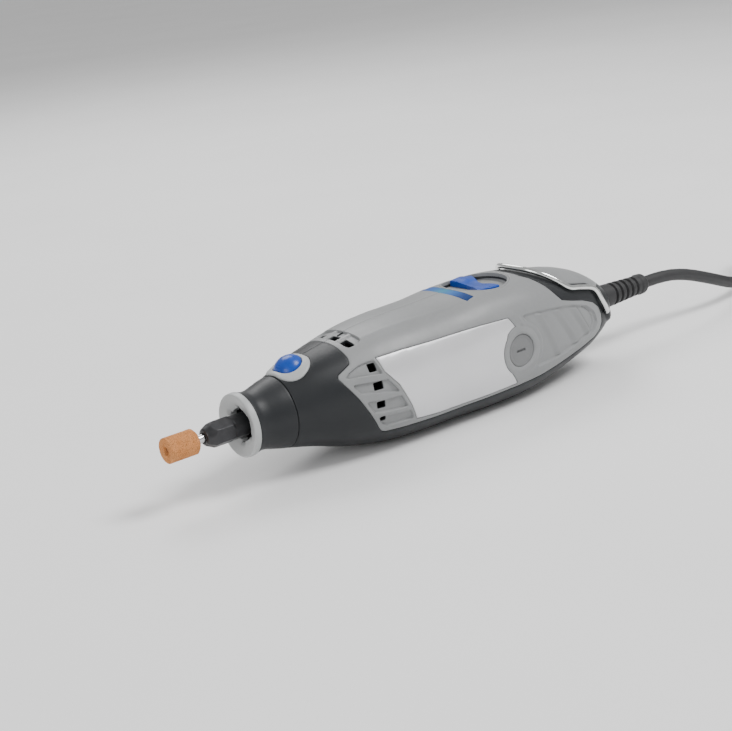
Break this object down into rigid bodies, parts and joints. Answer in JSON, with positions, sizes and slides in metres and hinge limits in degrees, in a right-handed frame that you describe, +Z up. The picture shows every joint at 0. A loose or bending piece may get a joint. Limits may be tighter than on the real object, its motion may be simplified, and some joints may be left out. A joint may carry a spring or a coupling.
{
  "type": "rotary hobby tool",
  "caption": "Corded rotary hobby tool with a grinding stone in its collet, spindle lock button, speed dial, brush caps, folding hanger wire and a cord tied in a hank, with plug.",
  "frame": {"origin": "on the surface the tool lies on, at the middle of the tool's length without its cord and under the axis", "axes": "+X runs along the spindle axis from the nose to the tail, +Z is up through the lock button and the speed dial, +Y completes the frame, so the left side faces -Y"},
  "size_m": [0.5469, 0.0598, 0.0501],
  "materials": {
    "housing": "fine grained dark grey plastic",
    "cover": "fine grained mid grey plastic",
    "panel": "satin silver plastic",
    "pale_plastic": "fine grained light grey plastic",
    "blue_plastic": "blue plastic, slightly glossy",
    "blue_print": "printed blue band",
    "insulator": "black plastic",
    "pcb": "green circuit board",
    "film": "yellow film capacitor",
    "steel": "turned steel",
    "dark_steel": "blackened steel",
    "lamination": "stacked steel sheets",
    "copper": "enamelled copper wire",
    "commutator_copper": "turned copper bars",
    "brass": "drawn brass",
    "carbon": "pressed carbon",
    "chrome": "chromed wire",
    "rubber": "soft black rubber",
    "stone": "fired abrasive, matt and grainy"
  },
  "bodies": {
    "housing": {"housing_left": "housing", "housing_right": "housing", "cover_left": "cover", "cover_right": "cover", "panel_left": "panel", "panel_right": "panel", "tail_cap": "cover", "dial_seat": "cover", "speed_scale": "blue_print", "lock_bezel": "pale_plastic", "nose_sleeve": "insulator", "spindle_bearing_outers": "steel", "spindle_bearing_balls": "steel", "motor_bearing_outers": "steel", "motor_bearing_balls": "steel", "bearing_cushion": "rubber", "field_core": "lamination", "field_coils": "copper", "brush_holder_left": "brass", "brush_holder_right": "brass", "carbon_brush_left": "carbon", "carbon_brush_right": "carbon", "brush_springs": "steel", "brush_cap_left": "cover", "brush_cap_right": "cover", "control_board": "pcb", "capacitor": "film", "triac": "insulator", "dial_switch": "insulator", "cord_clamp": "insulator", "clamp_screws": "steel", "cord_guard": "rubber", "housing_screws": "steel", "cord": "rubber", "cord_hank": "rubber", "cord_tail": "rubber", "cord_tie": "insulator", "plug_body": "rubber", "plug_pins": "steel"},
    "spindle": {"spindle": "steel", "collet": "steel", "spindle_bearing_inners": "steel", "drive_coupling": "insulator", "motor_shaft": "steel", "motor_bearing_inners": "steel", "cooling_fan": "insulator", "armature_core": "lamination", "armature_windings": "copper", "commutator": "commutator_copper"},
    "collet_nut": {"collet_nut": "dark_steel"},
    "bit": {"grinding_stone": "stone", "stone_mandrel": "steel"},
    "nose_cap": {"nose_cap": "housing", "nose_ring": "pale_plastic"},
    "lock_button": {"lock_button": "blue_plastic", "lock_pin": "steel", "lock_spring": "steel"},
    "speed_dial": {"speed_dial": "blue_plastic"},
    "hanger": {"hanger": "chrome"}
  },
  "joints": [
    {"name": "spindle_spin", "type": "hinge", "parent": "housing", "child": "spindle", "pos_m": [-0.09175, 0, 0.0236], "axis": [1, 0, 0], "continuous": true},
    {"name": "collet_nut_turn", "type": "hinge", "parent": "spindle", "child": "collet_nut", "pos_m": [-0.09975, 0, 0.0236], "axis": [-1, 0, 0], "range_deg": [0, 540]},
    {"name": "bit_pull", "type": "slide", "parent": "spindle", "child": "bit", "axis": [-1, 0, 0], "range_m": [0, 0.024]},
    {"name": "nose_cap_off", "type": "slide", "parent": "housing", "child": "nose_cap", "axis": [-1, 0, 0], "range_m": [0, 0.014]},
    {"name": "lock_press", "type": "slide", "parent": "housing", "child": "lock_button", "axis": [0, 0, -1], "range_m": [0, 0.0028], "stiffness_N_per_m": 600, "springref_m": -0.003, "deforming": ["lock_spring"]},
    {"name": "speed_dial_turn", "type": "hinge", "parent": "housing", "child": "speed_dial", "pos_m": [0.02625, 0, 0.0456], "axis": [0, 0, 1], "range_deg": [0, 150]},
    {"name": "hanger_fold", "type": "hinge", "parent": "housing", "child": "hanger", "pos_m": [0.08025, 0, 0.0242], "axis": [0, 1, 0], "range_deg": [0, 105]}
  ]
}
